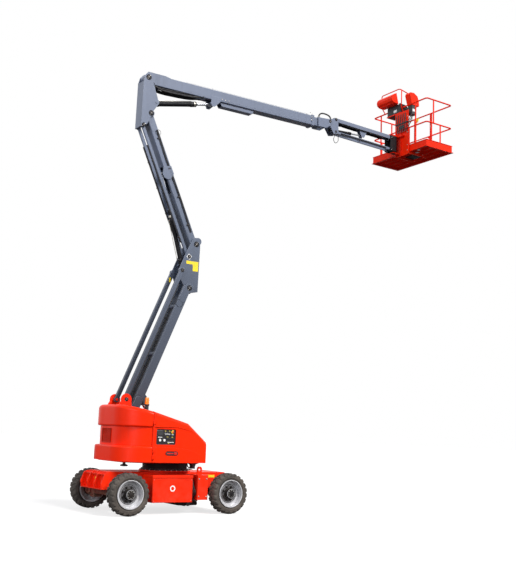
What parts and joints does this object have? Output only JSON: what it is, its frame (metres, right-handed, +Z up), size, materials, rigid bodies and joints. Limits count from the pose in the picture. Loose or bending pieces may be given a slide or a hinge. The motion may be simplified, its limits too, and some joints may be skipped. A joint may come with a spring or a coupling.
{
  "type": "articulating boom lift",
  "caption": "Self-propelled articulating boom lift: wheeled chassis, slewing turret, two folding risers, telescoping boom, jib and rotating work platform.",
  "frame": {"origin": "on the ground under the middle of the wheelbase, on the machine's centre plane", "axes": "+X towards the platform and the drive axle, +Y to the far side, +Z up"},
  "size_m": [7.8614, 1.804, 9.3134],
  "materials": {
    "red_paint": "semi-gloss orange-red paint",
    "dark_red_paint": "satin dark red paint, dusty",
    "grey_paint": "semi-gloss blue-grey paint",
    "black_paint": "satin black paint",
    "cast_weight": "painted casting",
    "red_cover": "glossy moulded cover, orange-red",
    "black_plastic": "fine-grained black plastic",
    "power_units": "dull grey",
    "amber_lens": "amber lens on a black foot",
    "chrome_rod": "polished hard chrome",
    "tyre_rubber": "dusty dark rubber",
    "white_rim": "silver-white paint"
  },
  "bodies": {
    "chassis": {"chassis_frame": "red_paint", "side_boxes": "red_paint", "belly_pan": "black_paint", "steer_axle": "dark_red_paint", "drive_axle": "dark_red_paint"},
    "steer_near": {"knuckle_near": "dark_red_paint"},
    "steer_far": {"knuckle_far": "dark_red_paint"},
    "tie_rod": {"tie_rod": "black_paint"},
    "turret": {"slew_ring": "black_paint", "turret_frame": "red_paint", "counterweight": "cast_weight", "tail_cover": "red_cover", "ground_controls": "black_plastic", "power_block": "power_units", "beacon": "amber_lens"},
    "hood_near": {"hood_near": "red_cover"},
    "hood_far": {"hood_far": "red_cover"},
    "wheel_steer_near": {"tyre_steer_near": "tyre_rubber", "rim_steer_near": "white_rim"},
    "wheel_steer_far": {"tyre_steer_far": "tyre_rubber", "rim_steer_far": "white_rim"},
    "wheel_drive_near": {"tyre_drive_near": "tyre_rubber", "rim_drive_near": "white_rim"},
    "wheel_drive_far": {"tyre_drive_far": "tyre_rubber", "rim_drive_far": "white_rim"},
    "lower_riser": {"lower_riser": "grey_paint"},
    "lower_links": {"lower_links": "grey_paint"},
    "lower_lift_barrel": {"lower_lift_barrel": "black_paint"},
    "lower_lift_rod": {"lower_lift_rod": "chrome_rod"},
    "mid_knuckle": {"mid_knuckle": "grey_paint"},
    "upper_riser": {"upper_riser": "grey_paint"},
    "upper_links": {"upper_links": "grey_paint"},
    "upper_lift_barrel": {"upper_lift_barrel": "black_paint"},
    "upper_lift_rod": {"upper_lift_rod": "chrome_rod"},
    "top_knuckle": {"top_knuckle": "grey_paint"},
    "main_boom": {"main_boom": "grey_paint"},
    "luff_barrel": {"luff_barrel": "black_paint"},
    "luff_rod": {"luff_rod": "chrome_rod"},
    "boom_extension": {"boom_extension": "grey_paint"},
    "level_bracket": {"level_bracket": "grey_paint"},
    "jib_beam": {"jib_beam": "grey_paint"},
    "jib_links": {"jib_links": "grey_paint"},
    "jib_lift_barrel": {"jib_lift_barrel": "black_paint"},
    "jib_lift_rod": {"jib_lift_rod": "chrome_rod"},
    "jib_head": {"jib_head": "black_paint"},
    "gate": {"gate": "red_paint"},
    "platform": {"platform_support": "red_paint", "platform_floor": "red_paint", "platform_rails": "red_paint", "console": "black_plastic", "console_hoods": "red_paint"}
  },
  "joints": [
    {"name": "wheel_spin_steer_near", "type": "hinge", "parent": "steer_near", "child": "wheel_steer_near", "pos_m": [-0.9775, -0.77, 0.355], "axis": [0, 1, 0], "continuous": true},
    {"name": "wheel_spin_steer_far", "type": "hinge", "parent": "steer_far", "child": "wheel_steer_far", "pos_m": [-0.9775, 0.77, 0.355], "axis": [0, 1, 0], "continuous": true},
    {"name": "wheel_spin_drive_near", "type": "hinge", "parent": "chassis", "child": "wheel_drive_near", "pos_m": [0.9775, -0.77, 0.355], "axis": [0, 1, 0], "continuous": true},
    {"name": "wheel_spin_drive_far", "type": "hinge", "parent": "chassis", "child": "wheel_drive_far", "pos_m": [0.9775, 0.77, 0.355], "axis": [0, 1, 0], "continuous": true},
    {"name": "steering", "type": "hinge", "parent": "chassis", "child": "steer_near", "pos_m": [-0.9775, -0.6, 0.355], "axis": [0, 0, 1], "range_deg": [-30, 30]},
    {"name": "steering_far", "type": "hinge", "parent": "chassis", "child": "steer_far", "pos_m": [-0.9775, 0.6, 0.355], "axis": [0, 0, 1], "range_deg": [-30, 30]},
    {"name": "tie_rod_slide", "type": "slide", "parent": "chassis", "child": "tie_rod", "axis": [0, 1, 0], "range_m": [-0.081, 0.081]},
    {"name": "slew", "type": "hinge", "parent": "chassis", "child": "turret", "pos_m": [0.1, 0, 0.72], "axis": [0, 0, 1], "range_deg": [-177, 177]},
    {"name": "hood_near_swing", "type": "hinge", "parent": "turret", "child": "hood_near", "pos_m": [-0.61, -0.87, 1.2], "axis": [0, 0, -1], "range_deg": [0, 80]},
    {"name": "hood_far_swing", "type": "hinge", "parent": "turret", "child": "hood_far", "pos_m": [-0.61, 0.87, 1.2], "axis": [0, 0, 1], "range_deg": [0, 80]},
    {"name": "riser_lift", "type": "hinge", "parent": "turret", "child": "lower_riser", "pos_m": [-0.68, 0, 1.614], "axis": [0, -1, 0], "range_deg": [-74, 7]},
    {"name": "lower_links_follow", "type": "hinge", "parent": "turret", "child": "lower_links", "pos_m": [-0.846, 0, 1.931], "axis": [0, -1, 0], "range_deg": [-74.5, 7.5]},
    {"name": "mid_knuckle_level", "type": "hinge", "parent": "lower_riser", "child": "mid_knuckle", "pos_m": [0.3184, 0, 4.03631], "axis": [0, -1, 0], "range_deg": [-7.5, 74.5]},
    {"name": "upper_riser_fold", "type": "hinge", "parent": "mid_knuckle", "child": "upper_riser", "pos_m": [0.4624, 0, 4.89631], "axis": [0, -1, 0], "range_deg": [-7.5, 74.5]},
    {"name": "upper_links_follow", "type": "hinge", "parent": "mid_knuckle", "child": "upper_links", "pos_m": [0.3184, 0, 4.64031], "axis": [0, -1, 0], "range_deg": [-7.5, 74.5]},
    {"name": "top_knuckle_level", "type": "hinge", "parent": "upper_riser", "child": "top_knuckle", "pos_m": [-0.62092, 0, 7.23013], "axis": [0, -1, 0], "range_deg": [-74.5, 7.5]},
    {"name": "boom_luff", "type": "hinge", "parent": "top_knuckle", "child": "main_boom", "pos_m": [-0.71192, 0, 7.91014], "axis": [0, -1, 0], "range_deg": [-1.24, 74]},
    {"name": "telescope", "type": "slide", "parent": "main_boom", "child": "boom_extension", "axis": [0.9998, 0, 0.0216], "range_m": [0, 1.5]},
    {"name": "nose_level", "type": "hinge", "parent": "boom_extension", "child": "level_bracket", "pos_m": [3.61508, 0, 8.05714], "axis": [0, -1, 0], "range_deg": [-74.5, 1.5]},
    {"name": "jib_lift", "type": "hinge", "parent": "level_bracket", "child": "jib_beam", "pos_m": [3.79008, 0, 8.14513], "axis": [0, 1, 0], "range_deg": [-70, 60]},
    {"name": "jib_links_follow", "type": "hinge", "parent": "level_bracket", "child": "jib_links", "pos_m": [3.79008, 0, 7.87514], "axis": [0, 1, 0], "range_deg": [-70.5, 60.5]},
    {"name": "jib_head_level", "type": "hinge", "parent": "jib_beam", "child": "jib_head", "pos_m": [5.40972, 0, 8.11121], "axis": [0, 1, 0], "range_deg": [-60.5, 70.5]},
    {"name": "platform_turn", "type": "hinge", "parent": "jib_head", "child": "platform", "pos_m": [5.53972, 0, 8], "axis": [0, 0, -1], "range_deg": [-90, 90]},
    {"name": "gate_swing", "type": "hinge", "parent": "platform", "child": "gate", "pos_m": [6.49472, 0.3, 8.4], "axis": [0, 0, -1], "range_deg": [0, 90]},
    {"name": "lower_lift_swing", "type": "hinge", "parent": "turret", "child": "lower_lift_barrel", "pos_m": [0.185, 0, 0.98], "axis": [0, -1, 0], "range_deg": [-1.8, 9.7]},
    {"name": "lower_lift_stroke", "type": "slide", "parent": "lower_lift_barrel", "child": "lower_lift_rod", "axis": [-0.5503, 0, 0.8349], "range_m": [-0.45, 0.052]},
    {"name": "upper_lift_swing", "type": "hinge", "parent": "mid_knuckle", "child": "upper_lift_barrel", "pos_m": [0.2354, 0, 4.49731], "axis": [0, -1, 0], "range_deg": [-7.5, 69.4]},
    {"name": "upper_lift_stroke", "type": "slide", "parent": "upper_lift_barrel", "child": "upper_lift_rod", "axis": [-0.2891, 0, 0.9573], "range_m": [-0.549, 0.061]},
    {"name": "luff_swing", "type": "hinge", "parent": "top_knuckle", "child": "luff_barrel", "pos_m": [-0.52892, 0, 7.46713], "axis": [0, -1, 0], "range_deg": [-2.1, 67.9]},
    {"name": "luff_stroke", "type": "slide", "parent": "luff_barrel", "child": "luff_rod", "axis": [0.9736, 0, 0.2282], "range_m": [-0.019, 0.565]},
    {"name": "jib_lift_swing", "type": "hinge", "parent": "level_bracket", "child": "jib_lift_barrel", "pos_m": [3.70008, 0, 7.92014], "axis": [0, 1, 0], "range_deg": [-62.5, 53.7]},
    {"name": "jib_lift_stroke", "type": "slide", "parent": "jib_lift_barrel", "child": "jib_lift_rod", "axis": [0.9974, 0, 0.072], "range_m": [-0.208, 0.241]}
  ],
  "couplings": [
    {"joint": "steering_far", "follows": "steering", "ratio": 1},
    {"joint": "tie_rod_slide", "follows": "steering", "m_per_rad": 0.15279},
    {"joint": "lower_links_follow", "follows": "riser_lift", "ratio": 1},
    {"joint": "mid_knuckle_level", "follows": "riser_lift", "ratio": -1},
    {"joint": "upper_riser_fold", "follows": "riser_lift", "ratio": -1},
    {"joint": "upper_links_follow", "follows": "riser_lift", "ratio": -1},
    {"joint": "top_knuckle_level", "follows": "riser_lift", "ratio": 1},
    {"joint": "nose_level", "follows": "boom_luff", "ratio": -1},
    {"joint": "jib_links_follow", "follows": "jib_lift", "ratio": 1},
    {"joint": "jib_head_level", "follows": "jib_lift", "ratio": -1},
    {"joint": "lower_lift_swing", "follows": "riser_lift", "ratio": -0.11728},
    {"joint": "lower_lift_stroke", "follows": "riser_lift", "m_per_rad": 0.34039},
    {"joint": "upper_lift_swing", "follows": "riser_lift", "ratio": -0.92388},
    {"joint": "upper_lift_stroke", "follows": "riser_lift", "m_per_rad": 0.41696},
    {"joint": "luff_swing", "follows": "boom_luff", "ratio": 0.90464},
    {"joint": "luff_stroke", "follows": "boom_luff", "m_per_rad": 0.42991},
    {"joint": "jib_lift_swing", "follows": "jib_lift", "ratio": 0.87887},
    {"joint": "jib_lift_stroke", "follows": "jib_lift", "m_per_rad": -0.18911}
  ]
}
